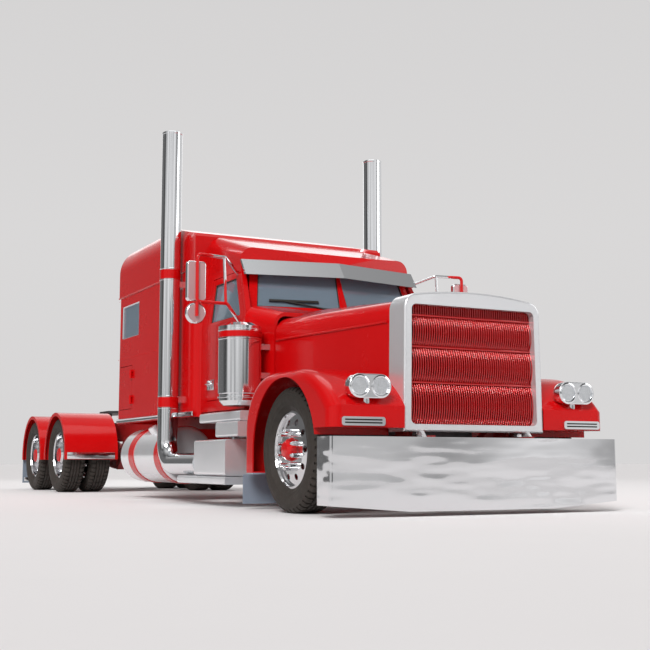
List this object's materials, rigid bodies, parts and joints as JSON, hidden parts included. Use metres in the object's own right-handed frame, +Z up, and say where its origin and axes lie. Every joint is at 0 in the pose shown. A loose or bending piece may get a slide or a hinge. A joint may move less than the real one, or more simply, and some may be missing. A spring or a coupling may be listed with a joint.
{
  "type": "semi truck tractor unit",
  "caption": "Long-nose tractor unit with a sleeper cab, tall exhaust stacks, a tilting hood and a tandem drive axle that hauls a semi-trailer.",
  "frame": {"origin": "on the ground below the middle of the vehicle's box", "axes": "+X forward, +Y to the driver's left, +Z up"},
  "size_m": [9.77, 3, 3.7099],
  "materials": {
    "paint_red": "gloss",
    "chassis_red": "satin",
    "chrome": "polished",
    "wheel_chrome": "polished",
    "engine_grey": "matte",
    "axle_black": "satin",
    "glass": "clear",
    "seat_cloth": "woven",
    "dash_plastic": "grained",
    "tyre": "matte",
    "flap_rubber": "matte",
    "lamp_red": "gloss",
    "lamp_clear": "fluted"
  },
  "bodies": {
    "chassis": {"frame": "chassis_red", "bumper": "chrome", "engine": "engine_grey", "radiator": "engine_grey", "front_axle": "axle_black", "suspension": "axle_black", "drive_axles": "axle_black", "cab_body": "paint_red", "cab_glass": "glass", "cab_roof": "paint_red", "visor": "chrome", "sleeper_body": "paint_red", "sleeper_bunk": "seat_cloth", "sleeper_roof": "paint_red", "seats": "seat_cloth", "dashboard": "dash_plastic", "wipers": "axle_black", "step_boxes": "chrome", "exhaust_stacks": "chrome", "fuel_tanks": "chrome", "tank_straps": "chassis_red", "air_cleaners": "chrome", "rear_fenders": "paint_red", "mudflaps": "flap_rubber", "tail_lamps": "lamp_red", "fifth_wheel_base": "chassis_red"},
    "hood_assembly": {"hood": "paint_red", "grille_surround": "chrome", "grille": "paint_red", "front_fenders": "paint_red", "headlamps": "chrome", "lamp_lenses": "lamp_clear"},
    "fifth_wheel": {"fifth_wheel_plate": "chassis_red"},
    "tie_rod_body": {"tie_rod": "axle_black"},
    "door_right_leaf": {"door_right": "paint_red", "door_glass_right": "glass", "mirror_right": "chrome"},
    "luggage_right_leaf": {"luggage_door_right": "paint_red"},
    "knuckle_right_body": {"knuckle_right": "axle_black"},
    "front_wheel_right": {"front_wheel_right_tyre": "tyre", "front_wheel_right_disc": "wheel_chrome"},
    "rear_wheel_1_right": {"rear_wheel_1_right_tyre": "tyre", "rear_wheel_1_right_disc": "wheel_chrome"},
    "rear_wheel_2_right": {"rear_wheel_2_right_tyre": "tyre", "rear_wheel_2_right_disc": "wheel_chrome"},
    "door_left_leaf": {"door_left": "paint_red", "door_glass_left": "glass", "mirror_left": "chrome"},
    "luggage_left_leaf": {"luggage_door_left": "paint_red"},
    "knuckle_left_body": {"knuckle_left": "axle_black"},
    "front_wheel_left": {"front_wheel_left_tyre": "tyre", "front_wheel_left_disc": "wheel_chrome"},
    "rear_wheel_1_left": {"rear_wheel_1_left_tyre": "tyre", "rear_wheel_1_left_disc": "wheel_chrome"},
    "rear_wheel_2_left": {"rear_wheel_2_left_tyre": "tyre", "rear_wheel_2_left_disc": "wheel_chrome"}
  },
  "joints": [
    {"name": "hood_tilt", "type": "hinge", "parent": "chassis", "child": "hood_assembly", "pos_m": [4.823, 0, 0.52], "axis": [0, 1, 0], "range_deg": [0, 65]},
    {"name": "fifth_wheel_rock", "type": "hinge", "parent": "chassis", "child": "fifth_wheel", "pos_m": [-3.535, 0, 0.985], "axis": [0, 1, 0], "range_deg": [-11, 11]},
    {"name": "door_right_swing", "type": "hinge", "parent": "chassis", "child": "door_right_leaf", "pos_m": [2.577, -0.986, 1.345], "axis": [0, 0, 1], "range_deg": [0, 65]},
    {"name": "luggage_right_swing", "type": "hinge", "parent": "chassis", "child": "luggage_right_leaf", "pos_m": [-0.363, -1.066, 1.2225], "axis": [0, 0, 1], "range_deg": [0, 100]},
    {"name": "steer_right", "type": "hinge", "parent": "chassis", "child": "knuckle_right_body", "pos_m": [3.985, -0.898, 0.48], "axis": [0, 0, 1], "range_deg": [-32, 32]},
    {"name": "front_wheel_right_roll", "type": "hinge", "parent": "knuckle_right_body", "child": "front_wheel_right", "pos_m": [3.985, -1.069, 0.48], "axis": [0, 1, 0], "continuous": true},
    {"name": "rear_wheel_1_right_roll", "type": "hinge", "parent": "chassis", "child": "rear_wheel_1_right", "pos_m": [-2.975, -0.92, 0.48], "axis": [0, 1, 0], "continuous": true},
    {"name": "rear_wheel_2_right_roll", "type": "hinge", "parent": "chassis", "child": "rear_wheel_2_right", "pos_m": [-4.295, -0.92, 0.48], "axis": [0, 1, 0], "continuous": true},
    {"name": "door_left_swing", "type": "hinge", "parent": "chassis", "child": "door_left_leaf", "pos_m": [2.577, 0.986, 1.345], "axis": [0, 0, -1], "range_deg": [0, 65]},
    {"name": "luggage_left_swing", "type": "hinge", "parent": "chassis", "child": "luggage_left_leaf", "pos_m": [-0.363, 1.066, 1.2225], "axis": [0, 0, -1], "range_deg": [0, 100]},
    {"name": "steer_left", "type": "hinge", "parent": "chassis", "child": "knuckle_left_body", "pos_m": [3.985, 0.898, 0.48], "axis": [0, 0, 1], "range_deg": [-32, 32]},
    {"name": "front_wheel_left_roll", "type": "hinge", "parent": "knuckle_left_body", "child": "front_wheel_left", "pos_m": [3.985, 1.069, 0.48], "axis": [0, 1, 0], "continuous": true},
    {"name": "rear_wheel_1_left_roll", "type": "hinge", "parent": "chassis", "child": "rear_wheel_1_left", "pos_m": [-2.975, 0.92, 0.48], "axis": [0, 1, 0], "continuous": true},
    {"name": "rear_wheel_2_left_roll", "type": "hinge", "parent": "chassis", "child": "rear_wheel_2_left", "pos_m": [-4.295, 0.92, 0.48], "axis": [0, 1, 0], "continuous": true},
    {"name": "tie_rod_pivot", "type": "hinge", "parent": "knuckle_right_body", "child": "tie_rod_body", "pos_m": [3.775, -0.898, 0.325], "axis": [0, 0, 1], "range_deg": [-32, 32]}
  ],
  "couplings": [
    {"joint": "steer_left", "follows": "steer_right", "ratio": 1},
    {"joint": "tie_rod_pivot", "follows": "steer_right", "ratio": -1}
  ]
}
